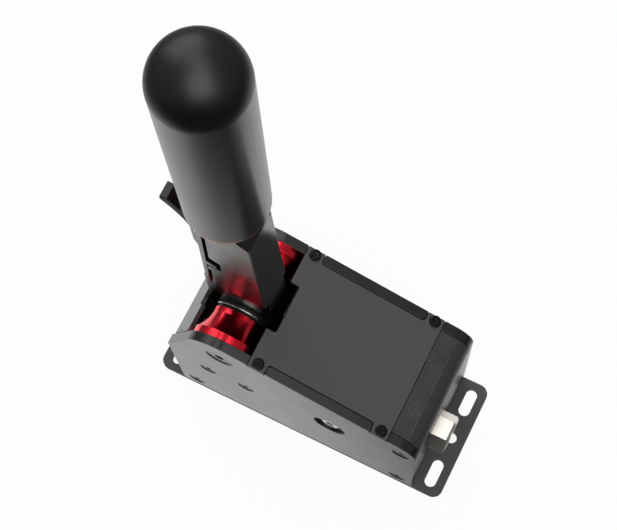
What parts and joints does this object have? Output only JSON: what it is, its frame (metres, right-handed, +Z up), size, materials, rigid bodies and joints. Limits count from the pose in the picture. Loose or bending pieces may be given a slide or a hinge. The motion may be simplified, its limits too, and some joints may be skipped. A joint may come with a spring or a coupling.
{
  "type": "sim racing gear shifter",
  "caption": "Sequential gear shifter for a racing simulator: a long lever with a round grip and a finger trigger, pivoting in a closed metal body on a slotted base plate.",
  "frame": {"origin": "middle of the base plate's underside", "axes": "+X towards the socket end, with the lever at the -X end; +Y across the body; +Z up along the upright lever"},
  "size_m": [0.189, 0.075, 0.4067],
  "materials": {
    "base_black": "black anodised, matt",
    "plate_anodised": "dark grey anodised, fine satin",
    "cover_anodised": "dark grey anodised, fine matt grain",
    "rear_anodised": "dark grey anodised, ribbed and bent",
    "screw_black": "black oxide",
    "screw_flat": "dark grey, level with the plates",
    "steel": "ground",
    "washer_steel": "turned, bright",
    "rubber_black": "matt",
    "sleeve_red": "red anodised, turned and polished",
    "lever_satin": "black anodised, satin",
    "plug_metal": "polished nickel",
    "plastic_black": "matt moulded",
    "contact_gold": "gold plated",
    "board_green": "solder mask",
    "magnet_nickel": "nickel plated",
    "collar_copper": "brushed, warm tone",
    "knob_soft": "soft matt",
    "cap_satin": "black satin",
    "trigger_satin": "black anodised, satin"
  },
  "bodies": {
    "frame": {"base_plate": "base_black", "side_plate_near": "plate_anodised", "side_plate_far": "plate_anodised", "top_cover": "cover_anodised", "front_cover": "cover_anodised", "rear_cover": "rear_anodised", "pivot_screws": "screw_flat", "side_screws": "screw_flat", "base_screws": "screw_flat", "cover_screws": "screw_black", "low_bars": "steel", "rear_bar": "steel", "stop_bars": "steel", "stop_rubbers": "rubber_black", "pivot_axle": "steel", "bearing_spacer": "steel", "bearing_inner_rings": "steel", "bearing_balls": "steel", "seal_rings": "rubber_black", "washers": "washer_steel", "spacer_rings": "screw_black", "sleeve_near": "sleeve_red", "sleeve_far": "sleeve_red", "adjuster_bushings": "washer_steel", "plug_shell": "plug_metal", "plug_nut": "plug_metal", "plug_insert": "plastic_black", "plug_pins": "contact_gold", "circuit_board": "board_green", "board_standoffs": "steel", "board_screws": "steel", "board_chips": "plastic_black", "board_header": "plastic_black", "sensor_bracket": "cover_anodised", "sensor_chip": "plastic_black"},
    "lever": {"lever_arm": "lever_satin", "bearing_outer_rings": "steel", "lever_blade": "steel", "blade_screws": "screw_black", "blade_magnet": "magnet_nickel", "sensor_magnet": "magnet_nickel", "knob_stud": "steel", "stud_nut": "screw_black", "knob_collar": "collar_copper", "knob": "knob_soft", "knob_cap": "cap_satin", "trigger_pin": "steel", "hinge_bushings": "plastic_black", "arm_magnet": "magnet_nickel"},
    "trigger": {"trigger": "trigger_satin", "trigger_magnet": "magnet_nickel"},
    "adjuster": {"adjuster_shaft": "washer_steel", "adjuster_rocker": "cover_anodised", "rocker_screw": "screw_black", "rocker_magnet": "magnet_nickel"}
  },
  "joints": [
    {"name": "lever_tilt", "type": "hinge", "parent": "frame", "child": "lever", "pos_m": [-0.043, 0, 0.1043], "axis": [0, 1, 0], "range_deg": [-4.5, 4.5], "stiffness_Nm_per_rad": 40},
    {"name": "trigger_pull", "type": "hinge", "parent": "lever", "child": "trigger", "pos_m": [-0.0569, 0, 0.23], "axis": [0, 1, 0], "range_deg": [0, 8], "stiffness_Nm_per_rad": 0.6, "springref_deg": -2.86},
    {"name": "adjuster_turn", "type": "hinge", "parent": "frame", "child": "adjuster", "pos_m": [0.0234, 0, 0.0652], "axis": [0, 1, 0], "range_deg": [-2, 3]}
  ]
}
